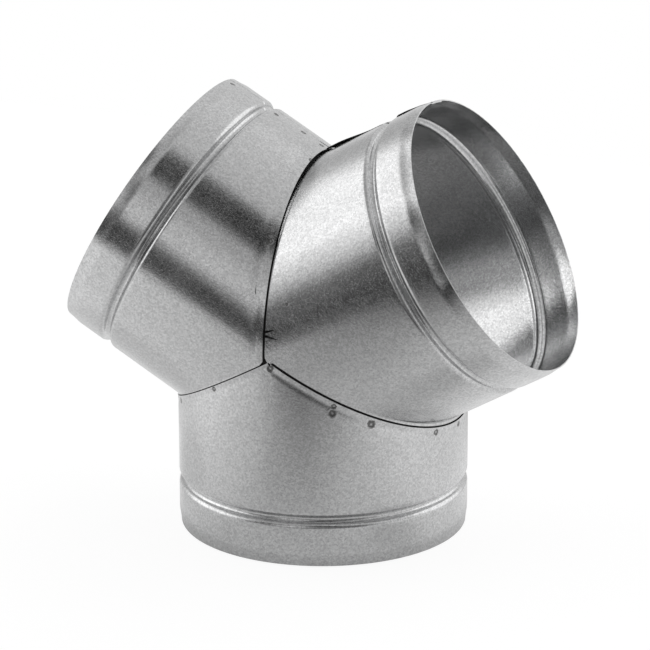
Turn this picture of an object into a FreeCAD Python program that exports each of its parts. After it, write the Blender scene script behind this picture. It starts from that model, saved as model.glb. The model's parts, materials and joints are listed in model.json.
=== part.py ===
import FreeCAD, Part
import math
import os

os.makedirs("parts", exist_ok=True)

# Duct y branch: three rolled sheet legs that meet at mitred seams.
# Z is up, X runs across the two branches, and the origin is the middle of the lower rim.
# Lengths are in millimetres and angles in degrees.

# Leg
collar_diameter = 149.0
sheet = 0.6
leg_length = 107.8
branch_tilt = 60.0

# Rolled bead, a groove outside and a ridge inside
bead_from_rim = 24.4
bead_width = 8.6
bead_depth = 3.2

# Lip at the open end, bent inward and flatter again at the rim
lip_length = 7.8
lip_bend_width = 2.6
lip_slope = 10.0
rim_stretch = 1.0
rim_slope = 4.0

# Seams between the legs, with the trunk outermost and the right leg innermost
flange_length = 9.0
flange_clearance = 0.1
trunk_edge_setback = 0.9
left_edge_setback = 2.0
right_edge_pass = 1.2
step_setback = 0.2
corner_clearance = 0.4

# Lap seam along each leg, placed by its angle about the leg's own axis
trunk_lap_angle = 0.0
left_lap_angle = 11.6
right_lap_angle = 175.2
lap_width = 11.0
lap_slot = 0.7
lap_clearance = 1.0

# Outer leaf of the right leg's lap, lifted most where it nears the left leg
leaf_lift_at_bead = 0.2
leaf_lift_at_axis = 1.2
leaf_setback = 1.0

centre = FreeCAD.Vector(0, 0, 0)
along_z = FreeCAD.Vector(0, 0, 1)
along_y = FreeCAD.Vector(0, 1, 0)

collar_radius = collar_diameter / 2
flange_radius = collar_radius - sheet - flange_clearance
airway_radius = flange_radius - sheet
reach = 2 * (leg_length + collar_diameter)

# Bead arcs: two shoulders and a floor whose bends share one radius at mid sheet
bead_half = bead_width / 2
bead_turn = 2 * math.atan(bead_depth / bead_half)
bead_bend_radius = bead_half / math.sin(bead_turn) / 2
bead_shoulder_radius = bead_bend_radius + sheet / 2
bead_floor_radius = bead_bend_radius - sheet / 2
bead_middle = leg_length - bead_from_rim
bead_start = bead_middle - bead_half
bead_end = bead_middle + bead_half

# Lip: a shoulder bend inward, a slow bend back and a straight stretch to the rim
lip_turn = math.radians(lip_slope)
rim_turn = math.radians(rim_slope)
lip_start = leg_length - lip_length
lip_foot_width = lip_length - lip_bend_width - rim_stretch
lip_shoulder_radius = lip_bend_width / math.sin(lip_turn)
lip_foot_radius = lip_foot_width / (math.sin(lip_turn) - math.sin(rim_turn))
lip_shoulder_out = collar_radius - lip_shoulder_radius
lip_foot_along = lip_start + lip_bend_width + lip_foot_radius * math.sin(lip_turn)
lip_foot_out = lip_shoulder_out + (lip_shoulder_radius + lip_foot_radius) * math.cos(lip_turn)

# Turns about Y that carry the upright leg to each leg's place
trunk_turn = 180.0
left_turn = -branch_tilt
right_turn = branch_tilt

# Turns about Y that carry the X direction to the side of a mitre plane that a leg is on
mitre_turn = (trunk_turn + branch_tilt) / 2
right_from_left = 0.0
left_from_right = 180.0
trunk_from_right = mitre_turn
right_from_trunk = mitre_turn + 180.0
left_from_trunk = -mitre_turn
trunk_from_left = 180.0 - mitre_turn

lap_degrees = math.degrees(lap_width / collar_radius)
slot_degrees = math.degrees(lap_slot / collar_radius)
sheet_degrees = math.degrees(sheet / collar_radius)


def spot(along, out):
    """Point of a leg's half section, by its distance along the axis and out from it."""
    return FreeCAD.Vector(out, 0, along)


def swing(along, out, radius, turn):
    """Point at a radius from a half section's spot, turned from straight out to the rim."""
    return spot(along + radius * math.sin(turn), out + radius * math.cos(turn))


def bend(start, middle, end):
    return Part.Arc(start, middle, end).toShape()


def wall_line(depth, start):
    """Edges of a leg's outer face moved inward by a depth, from start to the rim."""
    face = collar_radius - depth
    shoulder = bead_shoulder_radius - depth
    floor = bead_floor_radius + depth
    lip_shoulder = lip_shoulder_radius - depth
    lip_foot = lip_foot_radius + depth
    shoulder_out = collar_radius - bead_shoulder_radius
    floor_out = collar_radius - bead_depth + bead_floor_radius
    first_bend = swing(bead_start, shoulder_out, shoulder, bead_turn / 2)
    floor_start = swing(bead_start, shoulder_out, shoulder, bead_turn)
    floor_middle = spot(bead_middle, floor_out - floor)
    floor_end = swing(bead_end, shoulder_out, shoulder, -bead_turn)
    last_bend = swing(bead_end, shoulder_out, shoulder, -bead_turn / 2)
    lip_first_bend = swing(lip_start, lip_shoulder_out, lip_shoulder, lip_turn / 2)
    lip_middle = swing(lip_start, lip_shoulder_out, lip_shoulder, lip_turn)
    lip_last_bend = swing(lip_foot_along, lip_foot_out, -lip_foot, (lip_turn + rim_turn) / 2)
    stretch_start = swing(lip_foot_along, lip_foot_out, -lip_foot, rim_turn)
    rim_out = stretch_start.x - (leg_length - stretch_start.z) * math.tan(rim_turn)
    return [
        Part.makeLine(spot(start, face), spot(bead_start, face)),
        bend(spot(bead_start, face), first_bend, floor_start),
        bend(floor_start, floor_middle, floor_end),
        bend(floor_end, last_bend, spot(bead_end, face)),
        Part.makeLine(spot(bead_end, face), spot(lip_start, face)),
        bend(spot(lip_start, face), lip_first_bend, lip_middle),
        bend(lip_middle, lip_last_bend, stretch_start),
        Part.makeLine(stretch_start, spot(leg_length, rim_out)),
    ]


def first_point(edges):
    return edges[0].Vertexes[0].Point


def last_point(edges):
    return edges[-1].Vertexes[-1].Point


def spun(edges, degrees):
    """Solid spun about the Z axis from the edges of a half section."""
    section = Part.Face(Part.Wire(Part.__sortEdges__(edges)))
    return section.revolve(centre, along_z, degrees)


def turned(shape, turn):
    """Copy of an upright leg's shape, turned about Y."""
    shape = shape.copy()
    shape.rotate(centre, along_y, turn)
    return shape


def plug(depth, turn):
    """Solid that fills a leg out to its wall line at a depth, closed level with the rim."""
    edges = wall_line(depth, -collar_diameter)
    corners = [last_point(edges), spot(leg_length, 0), spot(-collar_diameter, 0), first_point(edges)]
    edges.extend(Part.makePolygon(corners).Edges)
    return turned(spun(edges, 360), turn)


def pipe(radius, turn):
    """Plain round bar along a leg's axis, stopping short of the bead."""
    bar = Part.makeCylinder(radius, bead_start + collar_diameter, spot(-collar_diameter, 0), along_z)
    return turned(bar, turn)


def beyond(turn, shift):
    """Half space past a shift along the X direction, turned about Y."""
    corner = FreeCAD.Vector(shift, -reach, -reach)
    return turned(Part.makeBox(reach, 2 * reach, 2 * reach, corner), turn)


def kept(shape, limits):
    """What is left of a shape inside several half spaces."""
    for turn, shift in limits:
        shape = shape.common(beyond(turn, shift))
    return shape


def joined(shapes):
    return shapes[0].fuse(shapes[1:]).removeSplitter()


def sector(edges, from_degrees, degrees, turn):
    """Part of a ring about a leg's axis, from one angle on over some degrees."""
    ring = spun(edges, degrees)
    ring.rotate(centre, along_z, from_degrees)
    return turned(ring, turn)


def wall_section(outer_depth, inner_depth, start):
    """Closed half section between two depths of a leg's wall."""
    outer = wall_line(outer_depth, start)
    inner = wall_line(inner_depth, start)
    rim = Part.makeLine(last_point(outer), last_point(inner))
    root = Part.makeLine(first_point(outer), first_point(inner))
    return outer + inner + [rim, root]


def straight_section(end, inner_out, inner_out_end, outer_out, outer_out_end):
    """Four-sided half section from the meeting point of the axes to an end along the leg."""
    corners = [spot(0, inner_out), spot(end, inner_out_end), spot(end, outer_out_end), spot(0, outer_out)]
    return Part.makePolygon(corners + corners[:1]).Edges


def lap_leaf(angle, start, turn):
    """Inner leaf of a lap seam, one sheet below the wall."""
    section = wall_section(sheet, 2 * sheet, start)
    return sector(section, angle - lap_degrees, lap_degrees + 2 * slot_degrees, turn)


def lap_gap(angle, start, turn):
    """Slot in the wall where the outer leaf of a lap seam ends."""
    return sector(wall_section(-sheet, sheet, start), angle, slot_degrees, turn)


# Clear air way inside the flanges
airway = [
    kept(pipe(airway_radius, trunk_turn), [(trunk_from_right, 0), (trunk_from_left, 0)]),
    kept(pipe(airway_radius, left_turn), [(left_from_right, 0), (left_from_trunk, 0)]),
    kept(pipe(airway_radius, right_turn), [(right_from_left, 0), (right_from_trunk, 0)]),
]

# Trunk leg, cut plain at both of its seams
trunk_wall = plug(0, trunk_turn).cut(plug(sheet, trunk_turn))
trunk_wall = kept(trunk_wall, [(trunk_from_right, trunk_edge_setback), (trunk_from_left, trunk_edge_setback)])
trunk_leaf = lap_leaf(trunk_lap_angle, 0, trunk_turn)
trunk_leaf = kept(trunk_leaf, [(trunk_from_left, flange_length + lap_clearance)])
trunk_leg = joined([trunk_wall.cut(lap_gap(trunk_lap_angle, 0, trunk_turn)), trunk_leaf])

# Left leg, cut plain over the right leg and stepped down into a flange inside the trunk
left_edge = (left_from_right, left_edge_setback)
left_outside = joined([
    kept(plug(0, left_turn), [left_edge, (left_from_trunk, step_setback)]),
    kept(pipe(flange_radius, left_turn), [left_edge, (left_from_trunk, 0)]),
    kept(pipe(flange_radius, trunk_turn),
         [left_edge, (trunk_from_left, 0), (left_from_trunk, -flange_length)]),
])
left_inside = kept(plug(sheet, left_turn), [(left_from_right, 0), (left_from_trunk, step_setback + sheet)])
left_wall = left_outside.cut([left_inside] + airway)
left_leaf = lap_leaf(left_lap_angle, 0, left_turn)
left_leaf = kept(left_leaf, [(left_from_right, flange_length + lap_clearance)])
left_leg = joined([left_wall.cut(lap_gap(left_lap_angle, 0, left_turn)), left_leaf])

# Right leg, stepped down into a flange inside the trunk and another inside the left leg
corner_setback = step_setback + sheet + corner_clearance
right_outside = joined([
    kept(plug(0, right_turn), [(right_from_left, -right_edge_pass), (right_from_trunk, step_setback)]),
    kept(pipe(flange_radius, right_turn), [(right_from_left, 0), (right_from_trunk, 0)]),
    kept(pipe(flange_radius, trunk_turn),
         [(right_from_left, corner_clearance), (trunk_from_right, 0), (right_from_trunk, -flange_length)]),
    kept(pipe(flange_radius, left_turn),
         [(left_from_right, 0), (right_from_left, -flange_length), (left_from_trunk, corner_setback)]),
])
right_inside = kept(plug(sheet, right_turn),
                    [(right_from_left, sheet - right_edge_pass), (right_from_trunk, step_setback + sheet)])
right_wall = right_outside.cut([right_inside] + airway)

# Right leg's lap: flush through the bead and the collar, lifted along the body
leaf_stop = bead_start - lap_clearance
leaf_start_angle = right_lap_angle - lap_degrees
leaf_below = collar_radius + leaf_lift_at_axis
leaf_below_end = collar_radius + leaf_lift_at_bead
leaf_section = straight_section(
    leaf_stop, leaf_below, leaf_below_end, leaf_below + sheet, leaf_below_end + sheet)
leaf_root_section = straight_section(
    leaf_stop, collar_radius - sheet, collar_radius - sheet, leaf_below + sheet, leaf_below_end + sheet)
under_gap_section = straight_section(
    leaf_stop - 2 * lap_clearance, airway_radius, airway_radius, collar_radius, collar_radius)
leaf_edge = [(right_from_left, leaf_setback)]
right_leaf = lap_leaf(right_lap_angle, leaf_stop - lap_clearance, right_turn)
right_gap = lap_gap(right_lap_angle, leaf_stop, right_turn)
lifted_leaf = sector(leaf_section, leaf_start_angle, lap_degrees + slot_degrees, right_turn)
lifted_root = sector(leaf_root_section, leaf_start_angle - sheet_degrees, sheet_degrees, right_turn)
under_gap = sector(under_gap_section, leaf_start_angle, 2 * slot_degrees, right_turn)
right_leg = joined([
    right_wall.cut([right_gap, kept(under_gap, leaf_edge)]),
    right_leaf,
    kept(lifted_leaf, leaf_edge),
    kept(lifted_root, leaf_edge),
])

for name, leg in (("trunk_leg", trunk_leg), ("left_leg", left_leg), ("right_leg", right_leg)):
    leg.translate(FreeCAD.Vector(0, 0, leg_length))
    leg.exportStep("parts/" + name + ".step")
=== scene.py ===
import json
import math

import bpy
import numpy as np
from mathutils import Matrix


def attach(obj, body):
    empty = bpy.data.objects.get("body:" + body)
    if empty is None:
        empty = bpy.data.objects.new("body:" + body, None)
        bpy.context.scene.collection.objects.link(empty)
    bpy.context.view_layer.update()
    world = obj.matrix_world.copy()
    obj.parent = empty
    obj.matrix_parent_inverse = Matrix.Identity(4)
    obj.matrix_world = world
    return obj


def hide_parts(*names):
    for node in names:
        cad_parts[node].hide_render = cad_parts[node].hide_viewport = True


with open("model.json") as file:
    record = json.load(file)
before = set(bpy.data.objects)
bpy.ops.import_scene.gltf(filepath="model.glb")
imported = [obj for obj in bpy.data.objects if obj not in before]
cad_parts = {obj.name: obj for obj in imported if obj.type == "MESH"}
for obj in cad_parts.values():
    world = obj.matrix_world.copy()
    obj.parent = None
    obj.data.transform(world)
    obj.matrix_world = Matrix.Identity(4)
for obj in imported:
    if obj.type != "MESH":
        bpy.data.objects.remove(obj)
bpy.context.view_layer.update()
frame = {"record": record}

# Duct y branch of galvanised sheet: three rolled legs with lap seams, beads and spot welds.
# Lengths are in millimetres and angles in degrees, and meshes are made in metres.
millimetre = 0.001

# Leg sizes, the same as in the solids
collar_radius = frame["record"]["mounts"][0]["dims"]["r_mm"]
leg_length = 107.8
branch_tilt = 60.0
sheet = 0.6
bead_from_rim = 24.4
bead_width = 8.6
bead_depth = 3.2
lip_length = 7.8
lip_bend_width = 2.6
lip_slope = 10.0
rim_stretch = 1.0
flange_length = 9.0
flange_clearance = 0.1
flange_radius = collar_radius - sheet - flange_clearance
meeting_point = np.array([0.0, 0.0, leg_length])

# Bead arcs: two shoulders and a floor
bead_half = bead_width / 2
bead_turn = 2 * math.atan(bead_depth / bead_half)
bead_bend_radius = bead_half / math.sin(bead_turn) / 2
bead_shoulder_radius = bead_bend_radius + sheet / 2
bead_floor_radius = bead_bend_radius - sheet / 2

# Lip: a shoulder bend inward, a slow bend back and a straight stretch to the rim
lip_turn = math.radians(lip_slope)
lip_start = leg_length - lip_length
lip_foot_width = lip_length - lip_bend_width - rim_stretch
lip_shoulder_radius = lip_bend_width / math.sin(lip_turn)

# Lap seam: the sheet starts at its outer leaf's edge and runs round to pass under that leaf
lap_width = 11.0
lap_degrees = math.degrees(lap_width / collar_radius)
lap_step_start = 358.5
lap_step_end = 359.4
lap_drop = sheet + 0.03
lap_leaf_setback = flange_length + 1.0

# Lifted leaf of the right leg's lap, by distances along the leg
leaf_most_lift = 1.9
leaf_least_lift = 0.25
leaf_rise = (33.0, 43.0)
leaf_settle = (50.0, 73.0)
leaf_stop = (76.0, 80.0)
collar_leaf_lift = 0.8
collar_leaf_rise = (84.5, 87.5)
collar_leaf_settle = (91.0, 104.0)
leaf_gap = 0.2
leaf_root_degrees = 5.0
leaf_end_setback = 2.5

# Sheet edges at the seams: hollow behind a lifted strip, by the strip's width, and the corner at the apexes
strip_hollow = 0.4
hollow_from_edge = 1.4
hollow_width = 0.67
corner_tip = 3.0
corner_near = 0.019
corner_far = 0.034

# Spot welds
weld_dimple = 0.14
weld_rim = 0.05

# Dimple and raised rim of a weld, by shares of the weld's radius
dimple_width = 0.7
weld_rim_at = 1.15
weld_rim_width = 0.3

# Unevenness left by rolling: height, count round the leg and pitch along it
slow_wave = 0.03
slow_wave_count = 3
slow_wave_pitch = 31.0
slow_wave_fade = 23.0
quick_wave = 0.012
quick_wave_count = 7
quick_wave_pitch = 17.0
wave_stop = 8.0

# Mesh spacing
column_step = 1.5
fine_column = 0.3
column_grid = 0.15
weld_column_reach = 2.1
edge_row = 0.4
edge_zone = 8.0
body_rows = 30
flange_columns = 120
flange_steps = (1.0, 3.0, 6.0)
collar_row = 1.5
lip_bend_rows = 6
bead_shoulder_rows = 8
bead_floor_rows = 14
rim_trim = 0.06
least_sideways = 0.1
sharp_edge = 35.0


def x_turned(degrees):
    """X direction turned about Y."""
    turn = math.radians(degrees)
    return np.array([math.cos(turn), 0.0, -math.sin(turn)])


def z_turned(degrees):
    """Z direction turned about Y."""
    turn = math.radians(degrees)
    return np.array([math.sin(turn), 0.0, math.cos(turn)])


def placed(turn, angle, out, along):
    """Points from an angle about a leg's axis and distances out from it and along it."""
    angle = np.radians(angle)
    across = np.multiply(out, np.cos(angle))[..., None] * x_turned(turn)
    sideways = np.multiply(out, np.sin(angle))[..., None] * np.array([0.0, 1.0, 0.0])
    return across + sideways + np.asarray(along)[..., None] * z_turned(turn) + meeting_point


def smooth(value, low, high):
    """Rises from 0 to 1 between two values."""
    share = np.clip((value - low) / (high - low), 0, 1)
    return share * share * (3 - 2 * share)


class Seam:
    """Mitre plane that a leg ends at, with the sheet's setback from it at the apex and in the crotch."""

    def __init__(self, side, crotch, at_apex, at_crotch):
        self.side = side
        self.crotch = crotch
        self.at_apex = at_apex
        self.at_crotch = at_crotch
        self.strip_lift = 0.0
        self.strip_width = 2.4
        self.fold_round = 0.0
        self.corner = 0.0
        self.flange_past = 0.0

    def end(self, turn, angle, out):
        """Distance along the leg at which the sheet ends, for each angle."""
        normal = x_turned(self.side)
        radial = placed(turn, angle, 1.0, np.zeros_like(angle)) - meeting_point
        nearness = np.cos(np.radians(angle - self.crotch))
        setback = self.at_apex + (self.at_crotch - self.at_apex) * np.clip(nearness, 0, 1)
        setback -= self.corner * np.clip((corner_far - nearness) / (corner_far - corner_near), 0, 1)
        setback -= self.corner * corner_tip * (nearness < corner_near)
        return (setback - out * (radial @ normal)) / (normal @ z_turned(turn))

    def edge_lift(self, distance):
        """Lift of the strip along an outer sheet's edge and of the hollow behind it."""
        distance = distance / self.strip_width
        strip = np.clip(1 - distance, 0, 1)
        behind = (distance - hollow_from_edge) / hollow_width
        return self.strip_lift * (strip - strip_hollow * np.exp(-(behind ** 2)))

    def folded(self, turn, points):
        """Points of an inner sheet, with those past the plane turned to follow the neighbouring leg."""
        normal = x_turned(self.side)
        axis = z_turned(turn)
        inside = (points - meeting_point) @ normal
        past = (inside - np.hypot(inside, self.fold_round)) / 2
        return points + 2 * past[..., None] * (normal - axis / (axis @ normal))


class Leg:
    """One rolled leg, with its turn about Y, lap, collar, seams and marks by angle and distance along."""

    def __init__(self, name, turn, lap_angle, lifted, bead_shift, rim_slope):
        self.name = name
        self.turn = turn
        self.lap_angle = lap_angle
        self.lifted = lifted
        self.bead_middle = leg_length - bead_from_rim + bead_shift
        self.bead_start = self.bead_middle - bead_half
        self.rim_turn = math.radians(rim_slope)
        self.seams = []
        self.welds = []
        self.strokes = []

    def on_wall(self, angle, along):
        """Point of the leg's outer wall."""
        return placed(self.turn, np.asarray(angle), collar_radius, np.asarray(along))


def bend(along, out, radius, first, last, count):
    """Points of a bend in a half section, each with its distance along and out and its turn."""
    turn = np.linspace(first, last, count + 1)
    return np.stack([along + radius * np.sin(turn), out + radius * np.cos(turn), turn], 1)


def lip_line(leg):
    """Corners of the lip from the rim to its shoulder, each with its distance along and out and its turn."""
    foot_radius = lip_foot_width / (math.sin(lip_turn) - math.sin(leg.rim_turn))
    shoulder_out = collar_radius - lip_shoulder_radius
    foot_along = lip_start + lip_bend_width + foot_radius * math.sin(lip_turn)
    foot_out = shoulder_out + (lip_shoulder_radius + foot_radius) * math.cos(lip_turn)
    foot = bend(foot_along, foot_out, -foot_radius, leg.rim_turn, lip_turn, lip_bend_rows)
    rim_along = leg_length - rim_trim
    rim_out = foot[0, 1] - (rim_along - foot[0, 0]) * math.tan(leg.rim_turn)
    shoulder = bend(lip_start, shoulder_out, lip_shoulder_radius, lip_turn, 0, lip_bend_rows)
    return np.concatenate([[(rim_along, rim_out, leg.rim_turn)], foot, shoulder[1:]])


def collar_line(leg):
    """Outer face in half section from the rim to the body side of the bead, and its outward normals."""
    shoulder_out = collar_radius - bead_shoulder_radius
    floor_out = collar_radius - bead_depth + bead_floor_radius
    bead_end = leg.bead_middle + bead_half
    corners = np.concatenate([
        lip_line(leg),
        bend(bead_end, shoulder_out, bead_shoulder_radius, 0, -bead_turn, bead_shoulder_rows),
        bend(leg.bead_middle, floor_out, -bead_floor_radius, -bead_turn, bead_turn, bead_floor_rows)[1:],
        bend(leg.bead_start, shoulder_out, bead_shoulder_radius, bead_turn, 0, bead_shoulder_rows)[1:],
    ])
    length = np.linalg.norm(np.diff(corners[:, :2], axis=0), axis=1)
    rows = [corners[:1]]
    for start, end, count in zip(corners[:-1], corners[1:], np.ceil(length / collar_row).astype(int)):
        share = np.linspace(0, 1, count + 1)[1:, None]
        rows.append(start + (end - start) * share)
    points = np.concatenate(rows)[:-1]
    return points[:, :2], np.stack([np.sin(points[:, 2]), np.cos(points[:, 2])], 1)


def sheet_columns(leg):
    """Degrees round the sheet from its outer leaf's edge, closer together at welds and apexes."""
    end = 360 + lap_degrees
    spans = [np.arange(0, end, column_step), [0, lap_step_start, lap_step_end, end]]
    spans.append(np.arange(lap_step_start, lap_step_end, fine_column))
    busy = [angle for angle, along, size in leg.welds] + [-90.0, 90.0]
    for angle in busy:
        middle = (leg.lap_angle - angle) % 360
        spans.append(np.arange(middle - weld_column_reach, middle + weld_column_reach, fine_column))
    columns = np.unique(np.round(np.concatenate(spans) / column_grid) * column_grid)
    return columns[(columns >= 0) & (columns <= end + column_grid)]


def weld_relief(leg, points):
    """Height of the dimples that spot welds leave, at points of a leg's outer face."""
    relief = np.zeros(points.shape[:-1])
    for angle, along, size in leg.welds:
        distance = np.linalg.norm(points - leg.on_wall(angle, along), axis=-1) / size
        relief -= weld_dimple * np.exp(-((distance / dimple_width) ** 2))
        relief += weld_rim * np.exp(-(((distance - weld_rim_at) / weld_rim_width) ** 2))
    return relief


def roll_waves(angle, along):
    """Slight unevenness that rolling leaves in a sheet."""
    angle = np.radians(angle)
    slow = np.sin(slow_wave_count * angle + along / slow_wave_pitch) * np.cos(along / slow_wave_fade)
    quick = np.sin(quick_wave_count * angle - along / quick_wave_pitch)
    return slow_wave * slow + quick_wave * quick


def leaf_height(leg, along):
    """Height of a lap's outer leaf above the wall: none on a flush lap, and none at the bead."""
    body = leaf_most_lift + (leaf_least_lift - leaf_most_lift) * smooth(along, *leaf_settle)
    body *= smooth(along, *leaf_rise) * (1 - smooth(along, *leaf_stop))
    collar = collar_leaf_lift * smooth(along, *collar_leaf_rise) * (1 - smooth(along, *collar_leaf_settle))
    return leg.lifted * (body + collar)


def lap_lift(leg, columns, along):
    """Lift of the sheet at its lap: up on the outer leaf, down where the inner leaf passes under it."""
    height = leaf_height(leg, along)
    on_leaf = 1 - smooth(columns, lap_degrees, lap_degrees + leaf_root_degrees)
    under = np.interp(columns, [lap_step_start, lap_step_end], [0, 1])
    depth = np.clip(lap_drop + np.minimum(height, leaf_gap) - height, 0, None)
    return height * on_leaf[:, None] - depth * under[:, None]


def sheet_ends(leg, columns, angle):
    """Where each column ends along the leg, and the number of the seam that it ends at."""
    ends = [seam.end(leg.turn, angle, collar_radius) for seam in leg.seams]
    number = np.argmax(ends, axis=0)
    end = np.max(ends, axis=0)
    back = lap_leaf_setback * smooth(columns, lap_step_start, lap_step_end) * (1 - leg.lifted)
    on_leaf = 1 - smooth(columns, lap_degrees, lap_degrees + leaf_root_degrees)
    return end + back + leaf_end_setback * leg.lifted * on_leaf, number


def rolled_sheet(leg):
    """Outer and inner face of a leg's sheet as grids of points, columns by rows."""
    columns = sheet_columns(leg)
    angle = leg.lap_angle - columns
    ends, number = sheet_ends(leg, columns, angle)
    collar, collar_normals = collar_line(leg)
    near = np.arange(edge_zone, -edge_row / 2, -edge_row)
    share = np.linspace(1, 0, body_rows + 1)[:-1]
    length = leg.bead_start - ends[:, None]
    count = len(columns)
    distance = np.concatenate([edge_zone + share * (length - edge_zone), np.tile(near, (count, 1))], 1)
    body_along = ends[:, None] + distance
    along = np.concatenate([np.tile(collar[:, 0], (count, 1)), body_along], 1)
    body_out = np.full_like(body_along, collar_radius)
    out = np.concatenate([np.tile(collar[:, 1], (count, 1)), body_out], 1)
    normal_along = np.zeros_like(along)
    normal_along[:, :len(collar)] = collar_normals[:, 0]
    normal_out = np.ones_like(along)
    normal_out[:, :len(collar)] = collar_normals[:, 1]
    lift = lap_lift(leg, columns, along)
    for order, seam in enumerate(leg.seams):
        at_seam = (number == order)[:, None]
        lift[:, len(collar):] += at_seam * seam.edge_lift(distance)
    outer = placed(leg.turn, angle[:, None], out, along)
    body_share = 1 - smooth(along, leg.bead_start - wave_stop, leg.bead_start)
    lift += weld_relief(leg, outer) + roll_waves(angle[:, None], along) * body_share
    sideways = np.abs(np.sin(np.radians(angle)))[:, None]
    lift = np.minimum(lift, collar_radius / np.maximum(sideways, least_sideways) - out)
    faces = []
    for depth in (0.0, sheet):
        rise = lift - depth
        face = placed(leg.turn, angle[:, None], out + rise * normal_out, along + rise * normal_along)
        for seam in leg.seams:
            if seam.fold_round:
                face = seam.folded(leg.turn, face)
        faces.append(face)
    return columns, faces[0], faces[1]


def flange_strip(leg, seam, other_turn):
    """Outer and inner face of the flange that a leg puts inside its neighbour, from apex to apex."""
    angle = seam.crotch + np.linspace(90, -90, flange_columns + 1)
    plane = Seam(seam.side, seam.crotch, -seam.flange_past, -seam.flange_past)
    faces = []
    for radius in (flange_radius, flange_radius - sheet):
        meet = plane.end(leg.turn, angle, radius)
        rows = [placed(leg.turn, angle, radius, meet + before) for before in flange_steps[::-1]]
        fold = placed(leg.turn, angle, radius, meet)
        rows += [fold + past * z_turned(other_turn) for past in (0.0, *flange_steps, flange_length)]
        faces.append(np.stack(rows, 1))
    return faces


def band_quads(columns, rows):
    """Corner numbers of a closed band's faces: outer skin, inner skin, rim, seam edge and two ends."""
    index = np.arange(columns * rows).reshape(columns, rows)
    inside = index + columns * rows

    def quads(a, b, c, d):
        return np.stack([a, b, c, d], -1).reshape(-1, 4)

    return [
        quads(index[:-1, :-1], index[1:, :-1], index[1:, 1:], index[:-1, 1:]),
        quads(inside[:-1, :-1], inside[:-1, 1:], inside[1:, 1:], inside[1:, :-1]),
        quads(index[:-1, 0], inside[:-1, 0], inside[1:, 0], index[1:, 0]),
        quads(index[:-1, -1], index[1:, -1], inside[1:, -1], inside[:-1, -1]),
        quads(index[0, :-1], index[0, 1:], inside[0, 1:], inside[0, :-1]),
        quads(index[-1, :-1], inside[-1, :-1], inside[-1, 1:], index[-1, 1:]),
    ]


class SheetMesh:
    """Gathers bands of sheet into one mesh, with a material number for each face."""

    def __init__(self):
        self.points = []
        self.faces = []
        self.numbers = []
        self.count = 0

    def add_band(self, outer, inner, outer_numbers, inner_numbers, end_number):
        """Adds a closed band between two grids of points, with material numbers by column."""
        columns, rows = outer.shape[:2]
        groups = band_quads(columns, rows)
        numbers = [np.repeat(outer_numbers, rows - 1), np.repeat(inner_numbers, rows - 1)]
        numbers += [np.zeros(columns - 1), np.zeros(columns - 1)]
        numbers += [np.full(rows - 1, end_number), np.full(rows - 1, end_number)]
        self.faces.append(np.concatenate(groups) + self.count)
        self.numbers.append(np.concatenate(numbers))
        self.points += [outer.reshape(-1, 3), inner.reshape(-1, 3)]
        self.count += 2 * columns * rows

    def build(self, name, materials):
        """Makes the object from all the bands."""
        mesh = bpy.data.meshes.new(name)
        points = np.concatenate(self.points) * millimetre
        faces = np.concatenate(self.faces)
        mesh.from_pydata(points.tolist(), [], faces.tolist())
        for material in materials:
            mesh.materials.append(material)
        numbers = np.concatenate(self.numbers).astype(np.int32)
        mesh.polygons.foreach_set("material_index", numbers)
        mesh.shade_smooth()
        mesh.set_sharp_from_angle(angle=math.radians(sharp_edge))
        piece = bpy.data.objects.new(name, mesh)
        bpy.context.scene.collection.objects.link(piece)
        return piece


def sheet_leg(leg, flanges, materials):
    """Rolled sheet of a leg and its flanges, in place of the leg's solid."""
    sheet_mesh = SheetMesh()
    columns, outer, inner = rolled_sheet(leg)
    middle = (columns[:-1] + columns[1:]) / 2
    # Material 1 is painted shade: on the sheet's outer face under the lap, on the outer leaf's underside
    # and, on a lifted lap, on the sheet's end edges
    sheet_mesh.add_band(outer, inner, middle > lap_step_end, middle < lap_degrees, int(leg.lifted))
    for seam, other_turn in flanges:
        outer, inner = flange_strip(leg, seam, other_turn)
        steps = len(outer) - 1
        # Painted shade on the flange's outer face and ends; zinc on its inner face
        sheet_mesh.add_band(outer, inner, np.ones(steps), np.zeros(steps), 1)
    piece = sheet_mesh.build(leg.name + "_sheet", materials)
    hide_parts(leg.name)
    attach(piece, "root")


# Finishes as linear colours
dull_zinc = (0.445, 0.447, 0.45, 1)
bright_zinc = (0.818, 0.82, 0.823, 1)
burnt_zinc = (0.05, 0.048, 0.046, 1)
dark_stroke_black = (0.01, 0.01, 0.01, 1)
# Painted shade for the sheet faces in the seams' gaps and under the lap
seam_shade_black = (0.004, 0.004, 0.004, 1)
seam_shade_grey = (0.02, 0.019, 0.018, 1)
# Floor colours for reflections, mixed by the floor's painted shade and light
floor_black = (0, 0, 0, 1)
floor_grey = (0.64, 0.64, 0.64, 1)
shadow_grey = (0.2, 0.2, 0.2, 1)
white = (1, 1, 1, 1)

# Zinc grain: noise scales per metre, and shares of tone and roughness
crystal_scale = 1150.0
fine_scale = 1300.0
patch_scale = 60.0
cloud_scale = 14.0
crystal_share = 0.5
mottle_middle = 0.75
patch_tone = 0.16
cloud_tone = 0.10
plain_rough = 0.15
patch_rough = 0.12
crystal_rough = 0.06
crystal_height = 0.6
zinc_contrast = 0.95
burn_share = 0.8
burn_rough = 0.2
grain_bump = 0.3
grain_depth = 0.0001

# Places of an RGBA mix node's sockets
mix_share = 0
mix_first = 6
mix_second = 7
mix_result = 2


def plug(socket, value):
    """Links an output to a socket, or sets the socket's value."""
    if isinstance(value, bpy.types.NodeSocket):
        socket.id_data.links.new(value, socket)
    else:
        socket.default_value = value


def add_node(tree, kind, **settings):
    """New node with its settings."""
    node = tree.nodes.new(kind)
    for name, value in settings.items():
        setattr(node, name, value)
    return node


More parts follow.
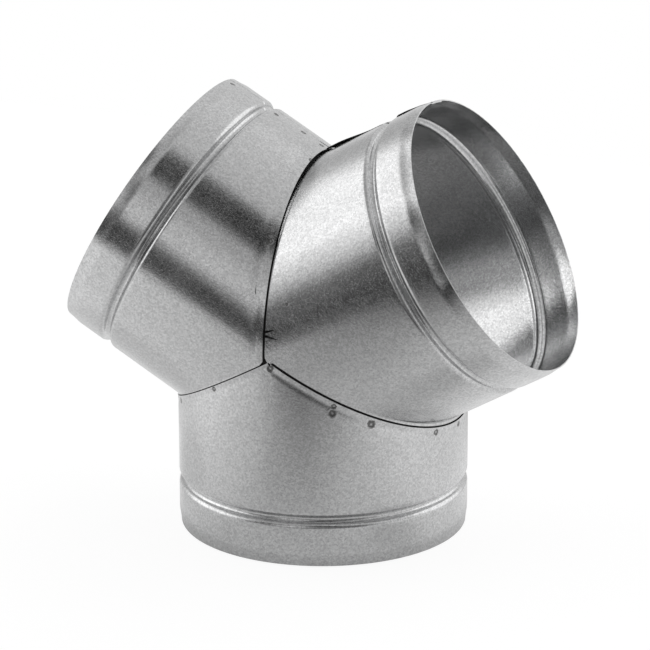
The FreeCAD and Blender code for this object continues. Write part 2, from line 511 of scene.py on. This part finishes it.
def fill(node, **values):
    """Sets a node's inputs by name, or links an output to them."""
    for name, value in values.items():
        plug(node.inputs[name.replace("_", " ")], value)
    return node


def math_node(tree, operation, *values):
    """Result of a sum on numbers or outputs."""
    node = add_node(tree, "ShaderNodeMath", operation=operation)
    for number, value in enumerate(values):
        plug(node.inputs[number], value)
    return node.outputs[0]


def vector_node(tree, operation, output, *values):
    """Named result of a sum on vectors."""
    node = add_node(tree, "ShaderNodeVectorMath", operation=operation)
    for number, value in enumerate(values):
        plug(node.inputs[number], value)
    return node.outputs[output]


def ranged(tree, value, low, high, to_low, to_high, kind="SMOOTHSTEP"):
    """Value carried from one range to another and held at its ends."""
    node = add_node(tree, "ShaderNodeMapRange", interpolation_type=kind)
    fill(node, Value=value, From_Min=low, From_Max=high, To_Min=to_low, To_Max=to_high)
    return node.outputs["Result"]


def mixed(tree, share, first, second):
    """Colour between two colours."""
    node = add_node(tree, "ShaderNodeMix", data_type="RGBA")
    for number, value in ((mix_share, share), (mix_first, first), (mix_second, second)):
        plug(node.inputs[number], value)
    return node.outputs[mix_result]


def noise(tree, position, scale, detail, roughness):
    """Value of a noise over the surface."""
    node = add_node(tree, "ShaderNodeTexNoise")
    return fill(node, Vector=position, Scale=scale, Detail=detail, Roughness=roughness).outputs["Fac"]


def new_group(name, inputs, outputs):
    """Empty shader node group with named sockets, its input node and its output node."""
    tree = bpy.data.node_groups.new(name, "ShaderNodeTree")
    for socket, kind in inputs:
        tree.interface.new_socket(socket, in_out="INPUT", socket_type="NodeSocket" + kind)
    for socket, kind in outputs:
        tree.interface.new_socket(socket, in_out="OUTPUT", socket_type="NodeSocket" + kind)
    return tree, tree.nodes.new("NodeGroupInput").outputs, tree.nodes.new("NodeGroupOutput")


def zinc_grain_group():
    """Zinc coat: fine crystals, cloudy patches and the grain left by rolling."""
    tree, given, result = new_group(
        "zinc_grain",
        [("Position", "Vector"), ("Contrast", "Float")],
        [("Colour", "Color"), ("Roughness", "Float"), ("Height", "Float")],
    )
    position = given["Position"]
    crystals = add_node(tree, "ShaderNodeTexVoronoi")
    fill(crystals, Vector=position, Scale=crystal_scale)
    crystal = add_node(tree, "ShaderNodeSeparateColor")
    tree.links.new(crystals.outputs["Color"], crystal.inputs[0])
    fine = noise(tree, position, fine_scale, 3.0, 0.6)
    patches = math_node(tree, "SUBTRACT", noise(tree, position, patch_scale, 4.0, 0.55), 0.5)
    clouds = math_node(tree, "SUBTRACT", noise(tree, position, cloud_scale, 3.0, 0.5), 0.5)
    mottle = math_node(tree, "MULTIPLY_ADD", crystal.outputs["Red"], crystal_share, fine)
    mottle = math_node(tree, "SUBTRACT", mottle, mottle_middle)
    tone = math_node(tree, "MULTIPLY", mottle, given["Contrast"])
    tone = math_node(tree, "MULTIPLY_ADD", patches, patch_tone, tone)
    tone = math_node(tree, "MULTIPLY_ADD", clouds, cloud_tone, tone)
    share = math_node(tree, "ADD", tone, 0.5)
    colour = mixed(tree, share, dull_zinc, bright_zinc)
    rough = math_node(tree, "MULTIPLY_ADD", patches, patch_rough, plain_rough)
    rough = math_node(tree, "MULTIPLY_ADD", crystal.outputs["Green"], crystal_rough, rough)
    height = math_node(tree, "MULTIPLY_ADD", crystal.outputs["Blue"], crystal_height, fine)
    tree.links.new(colour, result.inputs["Colour"])
    tree.links.new(rough, result.inputs["Roughness"])
    tree.links.new(height, result.inputs["Height"])
    return tree


def weld_spot_group():
    """One spot weld: a dark burnt ring with a bare dot in the middle."""
    tree, given, result = new_group(
        "weld_spot",
        [("Position", "Vector"), ("Centre", "Vector"), ("Radius", "Float")],
        [("Burn", "Float")],
    )
    wobble = noise(tree, given["Position"], 900.0, 2.0, 0.5)
    distance = vector_node(tree, "DISTANCE", "Value", given["Position"], given["Centre"])
    distance = math_node(tree, "DIVIDE", distance, given["Radius"])
    distance = math_node(tree, "ADD", distance, math_node(tree, "MULTIPLY_ADD", wobble, 0.9, -0.45))
    outside = ranged(tree, distance, 0.7, 1.15, 1.0, 0.0)
    middle = ranged(tree, distance, 0.05, 0.45, 0.25, 1.0)
    tree.links.new(math_node(tree, "MULTIPLY", outside, middle), result.inputs["Burn"])
    return tree


def stroke_group():
    """One tapering dark stroke between two points."""
    tree, given, result = new_group(
        "dark_stroke",
        [("Position", "Vector"), ("Start", "Vector"), ("End", "Vector"), ("Width", "Float")],
        [("Mask", "Float")],
    )
    run = vector_node(tree, "SUBTRACT", "Vector", given["End"], given["Start"])
    reach = vector_node(tree, "SUBTRACT", "Vector", given["Position"], given["Start"])
    share = math_node(
        tree, "DIVIDE",
        vector_node(tree, "DOT_PRODUCT", "Value", reach, run),
        vector_node(tree, "DOT_PRODUCT", "Value", run, run),
    )
    share = math_node(tree, "MINIMUM", math_node(tree, "MAXIMUM", share, 0.0), 1.0)
    on_line = add_node(tree, "ShaderNodeVectorMath", operation="SCALE")
    fill(on_line, Vector=run, Scale=share)
    distance = vector_node(tree, "DISTANCE", "Value", reach, on_line.outputs["Vector"])
    width = math_node(tree, "MULTIPLY", given["Width"], math_node(tree, "SUBTRACT", 1.05, share))
    distance = math_node(tree, "DIVIDE", distance, width)
    tree.links.new(ranged(tree, distance, 0.5, 1.0, 1.0, 0.0), result.inputs["Mask"])
    return tree


def new_material(name):
    """Empty material with its tree, its shader and the position on the piece."""
    material = bpy.data.materials.new(name)
    material.use_nodes = True
    tree = material.node_tree
    tree.nodes.clear()
    surface = tree.nodes.new("ShaderNodeOutputMaterial").inputs["Surface"]
    shader = tree.nodes.new("ShaderNodeBsdfPrincipled")
    tree.links.new(shader.outputs["BSDF"], surface)
    position = tree.nodes.new("ShaderNodeTexCoord").outputs["Object"]
    return material, tree, shader, position


def use_group(tree, group, **values):
    """Outputs of a node group placed in a material."""
    node = add_node(tree, "ShaderNodeGroup", node_tree=group)
    return fill(node, **values).outputs


def zinc_material(leg, groups):
    """Galvanised sheet of one leg, with its weld burns and dark strokes."""
    grain_group, weld_group, dark_stroke_group = groups
    material, tree, shader, position = new_material("zinc_" + leg.name)
    grain = use_group(tree, grain_group, Position=position, Contrast=zinc_contrast)
    burn = 0.0
    for angle, along, size in leg.welds:
        centre = leg.on_wall(angle, along) * millimetre
        spot = use_group(tree, weld_group, Position=position, Centre=centre, Radius=size * millimetre)
        burn = math_node(tree, "MAXIMUM", spot["Burn"], burn)
    share = math_node(tree, "MULTIPLY", burn, burn_share)
    colour = mixed(tree, share, grain["Colour"], burnt_zinc)
    # Dark strokes: the colour goes near black along short tapering lines
    for start, end, width in leg.strokes:
        points = {"Start": leg.on_wall(*start) * millimetre, "End": leg.on_wall(*end) * millimetre}
        dark_stroke = use_group(tree, dark_stroke_group, Position=position, Width=width * millimetre, **points)
        colour = mixed(tree, dark_stroke["Mask"], colour, dark_stroke_black)
    rough = math_node(tree, "MULTIPLY_ADD", burn, burn_rough, grain["Roughness"])
    bump = add_node(tree, "ShaderNodeBump")
    fill(bump, Strength=grain_bump, Distance=grain_depth, Height=grain["Height"])
    fill(shader, Metallic=1.0, Base_Color=colour, Roughness=rough, Normal=bump.outputs["Normal"])
    return material


def seam_shade_material():
    """Painted shade between the sheets: a near-black mottled colour for faces that sit in the seams' gaps
    and under the lap.
    """
    material, tree, shader, position = new_material("seam_painted_shade")
    shade_mottle = noise(tree, position, 400.0, 3.0, 0.6)
    colour = mixed(tree, shade_mottle, seam_shade_black, seam_shade_grey)
    rough = ranged(tree, shade_mottle, 0.3, 0.7, 0.75, 0.95)
    fill(shader, Base_Color=colour, Roughness=rough)
    return material


# Turn of each leg about Y, and of the mitre plane between the trunk and the right leg
trunk_turn = 180.0
left_turn = -branch_tilt
right_turn = branch_tilt
mitre_turn = (trunk_turn + branch_tilt) / 2

# Seams of each leg with its neighbours
trunk_at_right = Seam(side=mitre_turn, crotch=180.0, at_apex=0.95, at_crotch=2.1)
trunk_at_right.strip_lift = 0.3
trunk_at_left = Seam(side=180.0 - mitre_turn, crotch=0.0, at_apex=1.4, at_crotch=0.9)
trunk_at_left.strip_lift = 0.2
left_at_right = Seam(side=180.0, crotch=0.0, at_apex=2.7, at_crotch=1.5)
left_at_right.strip_lift = 0.2
left_at_right.strip_width = 4.2
left_at_trunk = Seam(side=-mitre_turn, crotch=180.0, at_apex=-0.75, at_crotch=-0.4)
left_at_trunk.fold_round = 0.3
right_at_left = Seam(side=0.0, crotch=180.0, at_apex=-1.5, at_crotch=-1.5)
right_at_left.flange_past = 1.7
right_at_trunk = Seam(side=mitre_turn + 180.0, crotch=0.0, at_apex=0.35, at_crotch=-1.35)
right_at_trunk.fold_round = 0.3
right_at_trunk.corner = 1.2

# Legs, with welds as angle, distance along and radius, and strokes as two ends and a width
trunk_leg = Leg("trunk_leg", trunk_turn, lap_angle=0.0, lifted=0.0, bead_shift=0.0, rim_slope=5.0)
trunk_leg.seams = [trunk_at_right, trunk_at_left]
trunk_leg.welds = [
    (-35.0, 39.0, 1.6), (-64.5, 21.4, 1.4), (-91.1, 4.2, 1.9), (-115.7, 22.6, 1.5), (-115.1, 26.3, 2.1),
    (-130.3, 33.4, 2.3), (-161.3, 45.7, 1.9), (-178.9, 47.9, 1.7), (142.0, 38.6, 1.8), (118.0, 24.6, 1.8),
    (89.0, 5.0, 1.8), (63.0, 23.0, 1.7), (36.0, 39.2, 1.7),
]

left_leg = Leg("left_leg", left_turn, lap_angle=11.6, lifted=0.0, bead_shift=-0.5, rim_slope=4.0)
left_leg.seams = [left_at_right, left_at_trunk]
left_leg.welds = [
    (7.7, 103.6, 1.6), (7.2, 75.8, 1.6), (8.3, 59.3, 1.6), (7.9, 47.8, 1.6), (-51.4, 32.3, 1.7),
    (-8.8, 44.0, 1.8), (52.0, 32.6, 1.7), (70.0, 21.5, 1.7),
]
left_leg.strokes = [((-71.0, 23.0), (-66.5, 26.5), 0.3)]

right_leg = Leg("right_leg", right_turn, lap_angle=175.2, lifted=1.0, bead_shift=0.5, rim_slope=5.0)
right_leg.seams = [right_at_left, right_at_trunk]
right_leg.welds = [(-105.9, 22.6, 0.9)]
right_leg.strokes = [((-100.1, 5.0), (-99.0, 11.8), 0.95), ((-98.4, 5.0), (-94.5, 11.4), 0.8)]

groups = (zinc_grain_group(), weld_spot_group(), stroke_group())
seam_shade = seam_shade_material()
sheet_leg(trunk_leg, [], [zinc_material(trunk_leg, groups), seam_shade])
sheet_leg(left_leg, [(left_at_trunk, trunk_turn)], [zinc_material(left_leg, groups), seam_shade])
right_flanges = [(right_at_trunk, trunk_turn), (right_at_left, left_turn)]
sheet_leg(right_leg, right_flanges, [zinc_material(right_leg, groups), seam_shade])


def direction(azimuth, elevation):
    """Unit vector by its turn from the front towards +X and its rise, in degrees."""
    turn = math.radians(azimuth)
    rise = math.radians(elevation)
    return (math.sin(turn) * math.cos(rise), -math.cos(turn) * math.cos(rise), math.sin(rise))


def by_camera_ray(tree, for_others, for_camera):
    """Shader that shows one thing to the camera and another to all other rays."""
    mix = tree.nodes.new("ShaderNodeMixShader")
    plug(mix.inputs[0], tree.nodes.new("ShaderNodeLightPath").outputs["Is Camera Ray"])
    plug(mix.inputs[1], for_others)
    plug(mix.inputs[2], for_camera)
    return mix.outputs[0]


def studio_world():
    """Studio with a bright wall on the left, small lamps and dark gaps, and white to the camera."""
    world = bpy.data.worlds.new("studio")
    bpy.context.scene.world = world
    world.use_nodes = True
    tree = world.node_tree
    tree.nodes.clear()
    look = tree.nodes.new("ShaderNodeTexCoord").outputs["Generated"]
    look = vector_node(tree, "NORMALIZE", "Vector", look)

    def patch(azimuth, elevation, core, edge):
        """Round patch of the studio, full within its core and gone at its edge, in degrees."""
        nearness = vector_node(tree, "DOT_PRODUCT", "Value", look, direction(azimuth, elevation))
        return ranged(tree, nearness, math.cos(math.radians(edge)), math.cos(math.radians(core)), 0.0, 1.0)

    backness = vector_node(tree, "DOT_PRODUCT", "Value", look, direction(180, 0))
    level = ranged(tree, backness, -0.9, 0.6, 0.70, 0.92)
    height = vector_node(tree, "DOT_PRODUCT", "Value", look, direction(0, 90))
    below_top = ranged(tree, height, direction(0, 38)[2], direction(0, 50)[2], 1.0, 0.0)
    bright_wall = math_node(tree, "MULTIPLY", patch(-80, 31, 8, 43), below_top)
    level = math_node(tree, "MULTIPLY_ADD", bright_wall, 1.15, level)
    back_window = patch(133, 25, 20, 34)
    level = math_node(tree, "MULTIPLY_ADD", back_window, 0.7, level)
    behind_camera = math_node(tree, "MULTIPLY_ADD", patch(25, 15, 20, 48), -0.72, 1.0)
    level = math_node(tree, "MULTIPLY", level, behind_camera)
    low_lamp = patch(-4, 15, 5, 14)
    level = math_node(tree, "MULTIPLY_ADD", low_lamp, 0.65, level)
    high_lamp = patch(5, 31, 4, 12)
    level = math_node(tree, "MULTIPLY_ADD", high_lamp, 0.45, level)
    # Dark gaps as a patch and the share of light that it takes away
    gaps = [
        (patch(-21, -7, 10, 16), 0.9),
        (patch(20.5, 50, 9, 16), 0.9),
        (patch(-31, 2, 5, 21), 0.8),
        (patch(-30, 33, 5, 18), 0.8),
        (patch(-51, 21, 5, 15), 0.17),
        (patch(-138, 13, 6, 18), 0.25),
        (patch(-134, 38, 5, 17), 0.42),
        (patch(-75, 64, 20, 38), 0.3),
    ]
    shade = 0.0
    for gap, loss in gaps:
        shade = math_node(tree, "MAXIMUM", math_node(tree, "MULTIPLY", gap, loss), shade)
    level = math_node(tree, "MULTIPLY", level, math_node(tree, "SUBTRACT", 1.0, shade))
    light = fill(tree.nodes.new("ShaderNodeBackground"), Strength=level)
    backdrop = fill(tree.nodes.new("ShaderNodeBackground"), Color=white, Strength=1.0)
    seen = by_camera_ray(tree, light.outputs[0], backdrop.outputs[0])
    plug(tree.nodes.new("ShaderNodeOutputWorld").inputs["Surface"], seen)


def studio_floor():
    """Pale floor: white to the camera apart from a soft shadow; to other rays it has painted shade and
    painted light by place, with painted shadows under the legs and round the trunk, and a painted glow.
    """
    half = 0.7
    below = -0.0002
    mesh = bpy.data.meshes.new("floor")
    corners = [(-half, -half, below), (half, -half, below), (half, half, below), (-half, half, below)]
    mesh.from_pydata(corners, [], [(0, 1, 2, 3)])
    floor = bpy.data.objects.new("floor", mesh)
    bpy.context.scene.collection.objects.link(floor)
    material = bpy.data.materials.new("pale_floor")
    material.use_nodes = True
    tree = material.node_tree
    tree.nodes.clear()
    position = tree.nodes.new("ShaderNodeTexCoord").outputs["Object"]
    from_front = vector_node(tree, "DISTANCE", "Value", position, (0.06, -0.33, 0.0))
    axes = tree.nodes.new("ShaderNodeSeparateXYZ")
    tree.links.new(position, axes.inputs[0])
    leftward = math_node(tree, "MINIMUM", axes.outputs["X"], 0.05)
    frontward = math_node(tree, "MULTIPLY", axes.outputs["Y"], -1.0)
    forward = math_node(tree, "MULTIPLY_ADD", leftward, 0.6, frontward)
    sideways = math_node(tree, "ABSOLUTE", axes.outputs["X"])
    back_left = vector_node(tree, "DOT_PRODUCT", "Value", position, (-0.5, 0.86, 0.0))
    under_right = vector_node(tree, "DISTANCE", "Value", position, (0.1, -0.06, 0.0))
    back_right = vector_node(tree, "DOT_PRODUCT", "Value", position, (0.4, 0.92, 0.0))
    under_left = vector_node(tree, "DISTANCE", "Value", position, (-0.165, -0.01, 0.0))
    from_axis = vector_node(tree, "LENGTH", "Value", position)
    wall = collar_radius * millimetre
    # Painted shade and light by place, with painted shadows under the legs and round the trunk: a measure in
    # metres, its range, the tone at each end and the kind of slope
    floor_light_and_shade = [
        (from_front, 0.1, 0.45, 0.45, 1.0, "LINEAR"),
        (forward, 0.27, 0.47, 1.0, 0.05, "LINEAR"),
        (sideways, 0.05, 0.09, 1.0, 1.14, "SMOOTHSTEP"),
        (back_left, 0.05, 0.2, 1.0, 0.72, "SMOOTHSTEP"),
        # Painted shadow under the right leg
        (under_right, 0.01, 0.05, 0.75, 1.0, "SMOOTHSTEP"),
        (back_right, 0.07, 0.18, 1.0, 0.82, "SMOOTHSTEP"),
        # Painted shadow under the left leg
        (under_left, 0.03, 0.09, 0.8, 1.0, "SMOOTHSTEP"),
        # Painted shade round the foot of the trunk
        (from_axis, wall, 0.087, 0.82, 1.0, "SMOOTHSTEP"),
        (from_axis, 0.073, wall, 0.5, 1.0, "SMOOTHSTEP"),
    ]
    tone = 1.0
    for place, low, high, at_low, at_high, kind in floor_light_and_shade:
        tone = math_node(tree, "MULTIPLY", ranged(tree, place, low, high, at_low, at_high, kind), tone)
    colour = mixed(tree, tone, floor_black, floor_grey)
    # Painted glow: the floor gives off light in step with its painted tone, seen in reflections
    painted_glow = fill(tree.nodes.new("ShaderNodeEmission"), Strength=math_node(tree, "MULTIPLY", tone, 0.48))
    painted_floor = tree.nodes.new("ShaderNodeAddShader")
    tree.links.new(fill(tree.nodes.new("ShaderNodeBsdfDiffuse"), Color=colour).outputs[0], painted_floor.inputs[0])
    tree.links.new(painted_glow.outputs[0], painted_floor.inputs[1])
    glow = fill(tree.nodes.new("ShaderNodeEmission"), Color=white, Strength=0.88)
    shadow_catch = fill(tree.nodes.new("ShaderNodeBsdfDiffuse"), Color=shadow_grey)
    bright = tree.nodes.new("ShaderNodeAddShader")
    tree.links.new(glow.outputs[0], bright.inputs[0])
    tree.links.new(shadow_catch.outputs[0], bright.inputs[1])
    seen = by_camera_ray(tree, painted_floor.outputs[0], bright.outputs[0])
    plug(tree.nodes.new("ShaderNodeOutputMaterial").inputs["Surface"], seen)
    mesh.materials.append(material)


def photo_camera():
    """Camera at the photograph's angle, aimed at the point where the three axes meet."""
    azimuth = 21.65
    elevation = 17.892
    roll = -0.214
    distance = 2.0008
    image_size = 650
    aim_pixel = (322.36, 316.36)
    camera = bpy.data.cameras.new("photo_camera")
    camera.lens = 216.7
    camera.sensor_width = 36.0
    camera.shift_x = ((image_size - 1) / 2 - aim_pixel[0]) / image_size
    camera.shift_y = (aim_pixel[1] - (image_size - 1) / 2) / image_size
    back = np.array(direction(azimuth, elevation))
    right = np.cross((0.0, 0.0, 1.0), back)
    right /= np.linalg.norm(right)
    up = np.cross(back, right)
    lean = math.radians(roll)
    side = right * math.cos(lean) + up * math.sin(lean)
    top = up * math.cos(lean) - right * math.sin(lean)
    place = meeting_point * millimetre + back * distance
    holder = bpy.data.objects.new("photo_camera", camera)
    bpy.context.scene.collection.objects.link(holder)
    turn = np.eye(4)
    turn[:3, :] = np.stack([side, top, back, place], 1)
    holder.matrix_world = Matrix(turn.tolist())
    bpy.context.scene.camera = holder


studio_world()
studio_floor()
photo_camera()
bpy.context.scene.view_settings.view_transform = "Standard"
